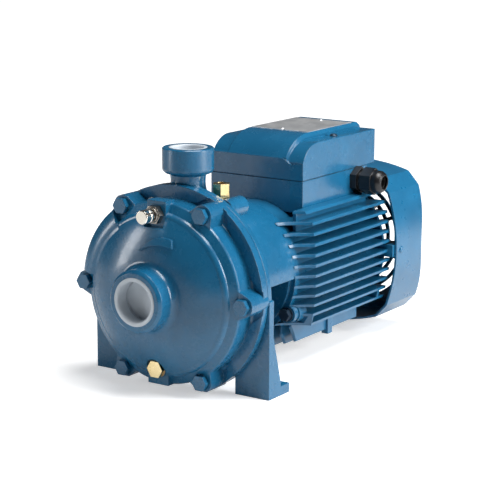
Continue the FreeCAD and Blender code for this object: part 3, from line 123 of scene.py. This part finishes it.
MATERIALS = {
    "casting": surface(
        "cast_enamel", ENAMEL_LIGHT, ENAMEL_DARK, (0.22, 0.32), 520.0, 0.00004, 0.0011, 0.0002,
        Coat_Weight=0.35, Coat_Roughness=0.10, Specular_IOR_Level=0.45),
    "casting_screws": surface(
        "screw_enamel", ENAMEL_LIGHT, ENAMEL_DARK, (0.22, 0.34), 900.0, 0.00004, 0.0006,
        Coat_Weight=0.4, Coat_Roughness=0.15),
    "frame_alloy": surface(
        "alloy_enamel", ENAMEL_LIGHT, ENAMEL_DARK, (0.26, 0.38), 700.0, 0.00005, 0.0006,
        Coat_Weight=0.3, Coat_Roughness=0.2),
    "box_alloy": surface(
        "box_enamel", ENAMEL_LIGHT, ENAMEL_DARK, (0.22, 0.30), 900.0, 0.00003, 0.0016, 0.0002,
        Coat_Weight=0.4, Coat_Roughness=0.14),
    "fan_cover": surface(
        "cover_enamel", ENAMEL_LIGHT, ENAMEL_DARK, (0.26, 0.34), 900.0, 0.00003, 0.0010, 0.0003,
        Coat_Weight=0.4, Coat_Roughness=0.18),
    "rubber": surface("black_rubber", (0.012, 0.012, 0.012), (0.020, 0.019, 0.018), (0.6, 0.8), 1200.0, 0.00006),
    "brass": surface(
        "turned_brass", (0.90, 0.74, 0.42), (0.80, 0.61, 0.30), (0.18, 0.34), 1500.0, 0.00003, 0.0005,
        Metallic=1.0),
    "fibre": surface("tan_washer", (0.52, 0.36, 0.17), (0.42, 0.28, 0.12), (0.45, 0.6), 1500.0, 0.00006, 0.0002),
    "nickel": surface(
        "dull_nickel", (0.34, 0.32, 0.29), (0.20, 0.19, 0.18), (0.18, 0.36), 1500.0, 0.00003, 0.0005, Metallic=1.0),
    "bright_nickel": surface(
        "polished_nickel", (0.92, 0.89, 0.82), (0.84, 0.79, 0.68), (0.16, 0.28), 1500.0, 0.00002, 0.0004,
        Metallic=1.0),
    # a dark blue-black metal for the bolts
    "bolt_black": surface(
        "blue_black_metal", (0.020, 0.045, 0.075), (0.012, 0.028, 0.050), (0.25, 0.4), 1500.0, 0.00003, 0.0005,
        Metallic=0.4),
    "white_plastic": surface(
        "white_moulding", (0.80, 0.80, 0.77), (0.72, 0.72, 0.69), (0.30, 0.45), 900.0, 0.00004, 0.0005),
    "grey_plastic": surface(
        "grey_moulding", (0.50, 0.55, 0.60), (0.43, 0.48, 0.53), (0.35, 0.5), 1100.0, 0.00006, 0.0004),
    "black_plastic": surface(
        "black_moulding", (0.007, 0.007, 0.008), (0.004, 0.004, 0.005), (0.26, 0.38), 1300.0, 0.00006, 0.0006),
    "plate": surface(
        "plate_metal", (0.74, 0.75, 0.76), (0.60, 0.62, 0.64), (0.30, 0.46), 2200.0, 0.00002, 0.0002, Metallic=0.8),
    "lamination": surface(
        "stacked_sheet", (0.20, 0.20, 0.21), (0.10, 0.10, 0.11), (0.4, 0.6), 1800.0, 0.00004, Metallic=1.0),
    "copper": surface(
        "varnished_wire", (0.50, 0.17, 0.06), (0.30, 0.09, 0.03), (0.25, 0.45), 1400.0, 0.0003, Metallic=1.0),
    "steel": surface(
        "zinc_steel", (0.62, 0.62, 0.60), (0.45, 0.45, 0.44), (0.20, 0.38), 1500.0, 0.00003, 0.0004, Metallic=1.0),
    "bearing_steel": surface(
        "ground_steel", (0.66, 0.66, 0.67), (0.55, 0.55, 0.56), (0.10, 0.22), 2500.0, 0.00001, 0.0002, Metallic=1.0),
    "seal_ceramic": surface("seal_ceramic", (0.72, 0.66, 0.56), (0.66, 0.60, 0.50), (0.2, 0.3), 1800.0, 0.00002),
    "stage_iron": surface(
        "bare_iron", (0.16, 0.16, 0.16), (0.09, 0.085, 0.08), (0.45, 0.65), 600.0, 0.0002, Metallic=1.0),
}
for piece in frame["record"]["subparts"]:
    node = frame["nodes"][piece["node"]]
    for material_slot in node.material_slots:
        material_slot.material = MATERIALS[piece["material_slot"]]
    for polygon in node.data.polygons:
        polygon.use_smooth = True


# ---------------------------------------------------------------- detail pieces

def mesh_piece(name, build, material, body="pump"):
    mesh = bpy.data.meshes.new(name)
    shape = bmesh.new()
    build(shape)
    bmesh.ops.recalc_face_normals(shape, faces=shape.faces)
    shape.to_mesh(mesh)
    shape.free()
    for polygon in mesh.polygons:
        polygon.use_smooth = True
    piece = bpy.data.objects.new(name, mesh)
    bpy.context.scene.collection.objects.link(piece)
    mesh.materials.append(material)
    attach(piece, body)
    return piece


def ring_surface(outline, to_world, around=96):
    """A turned band from (radius, along) corners."""
    def build(shape):
        rows = []
        for step in range(around):
            angle = 2 * math.pi * step / around
            rows.append([
                shape.verts.new(to_world(radius * math.cos(angle), radius * math.sin(angle), along))
                for radius, along in outline
            ])
        closed = list(zip(rows, rows[1:] + rows[:1]))
        for low, high in closed:
            for left in range(len(outline) - 1):
                shape.faces.new((low[left], low[left + 1], high[left + 1], high[left]))
    return build


def closed(outline):
    return outline + outline[:1]


def suction_axes(across, rise, along):
    """Along runs inwards from the suction face."""
    return Vector((across, SUCTION_FACE + along, SHAFT_HEIGHT + rise))


DISCHARGE_TOP = 0.2135
DISCHARGE_STATION = -0.0065


def discharge_axes(across, rise, along):
    """Along runs down from the top of the discharge port."""
    return Vector((across, DISCHARGE_STATION + rise, DISCHARGE_TOP - along))


def cup(mouth, rim, wall, depth, lift):
    """Closed outline of a transit cup's rim and wall: a rounded lip over the port's face, then a plain wall."""
    lip = 0.0006
    return [
        (mouth, -lift * 0.3), (mouth - 0.0004, -lift), (rim + 0.0006, -lift), (rim, -lift * 0.3),
        (rim - 0.0003, lip * 2.5), (wall - 0.0011, depth - 0.0012), (wall - 0.0016, depth), (wall - 0.0004, depth),
        (wall - 0.0002, lip * 2.5), (mouth - 0.0012, lip * 0.5), (mouth, 0.00002),
    ]


mesh_piece("suction_cup", ring_surface(
    closed(cup(0.0215, 0.0181, 0.01935, 0.0131, 0.0006)), suction_axes), MATERIALS["grey_plastic"],
    "suction_cap")
mesh_piece("discharge_cup", ring_surface(
    closed(cup(0.0172, 0.0144, 0.0150, 0.0132, 0.0)), discharge_axes), MATERIALS["grey_plastic"],
    "discharge_cap")


# ---------------------------------------------------------------- stage, lights and camera

# painted shade: the floor glows less near the object, so the ground under it looks shaded
FLOOR_GLOW_PAINTED_SHADE, FLOOR_GLOW_FAR = 0.48, 1.0
FLOOR_GLOW_ON_OBJECT = 0.08


def floor():
    """Pale floor that is fully white away from the object; near it the glow is dimmed into a painted shade, under
    the soft grey shadow the lamps cast.
    """
    mesh = bpy.data.meshes.new("floor")
    mesh.from_pydata([(-12, -12, 0), (12, -12, 0), (12, 12, 0), (-12, 12, 0)], [], [(0, 1, 2, 3)])
    plane = bpy.data.objects.new("floor", mesh)
    bpy.context.scene.collection.objects.link(plane)
    material, nodes, links, shader = new_material(
        "pale_floor", Roughness=0.8, Specular_IOR_Level=0.1, Emission_Color=(1.0, 1.0, 1.0, 1.0))
    place = nodes.new("ShaderNodeTexCoord").outputs["Object"]
    tone = noise(nodes, links, place, 3.0, 2.0)
    links.new(ramp(nodes, links, tone, [(0.3, (0.78, 0.78, 0.78)), (0.7, (0.80, 0.80, 0.80))]),
              shader.inputs["Base Color"])
    distance = nodes.new("ShaderNodeVectorMath")
    distance.operation = "LENGTH"
    links.new(place, distance.inputs[0])
    # painted shade: the glow fades from full white far off to a dimmer level within a quarter metre of the object
    glow_with_painted_shade = span(nodes, links, distance.outputs["Value"], FLOOR_GLOW_PAINTED_SHADE, FLOOR_GLOW_FAR, 0.25, 1.6)
    # the object sees a darker floor than the viewer does, so the enamel keeps its depth
    seen = nodes.new("ShaderNodeMix")
    seen.inputs["A"].default_value = FLOOR_GLOW_ON_OBJECT
    links.new(nodes.new("ShaderNodeLightPath").outputs["Is Camera Ray"], seen.inputs["Factor"])
    links.new(glow_with_painted_shade, seen.inputs["B"])
    links.new(seen.outputs["Result"], shader.inputs["Emission Strength"])
    mesh.materials.append(material)


def soft_light(name, at, aim, width, height, power, colour=(1.0, 1.0, 1.0)):
    data = bpy.data.lights.new(name, "AREA")
    data.shape = "RECTANGLE"
    data.size, data.size_y = width, height
    data.energy = power
    data.color = colour
    light = bpy.data.objects.new(name, data)
    light.location = at
    light.rotation_euler = (Vector(aim) - Vector(at)).to_track_quat("-Z", "Y").to_euler()
    bpy.context.scene.collection.objects.link(light)


def studio():
    world = bpy.data.worlds.new("studio")
    world.use_nodes = True
    background = world.node_tree.nodes["Background"]
    background.inputs["Color"].default_value = (0.95, 0.97, 1.0, 1.0)
    background.inputs["Strength"].default_value = 0.06
    bpy.context.scene.world = world
    centre = (0.0, 0.08, 0.1)
    soft_light("right_box", (1.30, 0.45, 0.55), centre, 0.6, 0.9, 26.0)
    soft_light("top_box", (0.35, 0.10, 1.40), centre, 0.8, 0.9, 24.0)
    soft_light("left_strip", (-1.1, -0.9, 0.30), centre, 0.25, 0.9, 7.0)


def camera():
    data = bpy.data.cameras.new("camera")
    data.sensor_width, data.lens = 36.0, 119.52
    data.clip_start, data.clip_end = 0.05, 100.0
    view = bpy.data.objects.new("camera", data)
    back = Vector((0.54296, -0.81191, 0.21446)).normalized()
    right = Vector((0.83064, 0.55678, 0.00489)).normalized()
    up = back.cross(right)
    view.matrix_world = Matrix.Translation((0.8516, -1.1808, 0.4389)) @ Matrix(
        (right, up, back)).transposed().to_4x4()
    bpy.context.scene.collection.objects.link(view)
    bpy.context.scene.camera = view


floor()
studio()
camera()
bpy.context.scene.view_settings.view_transform = "Standard"
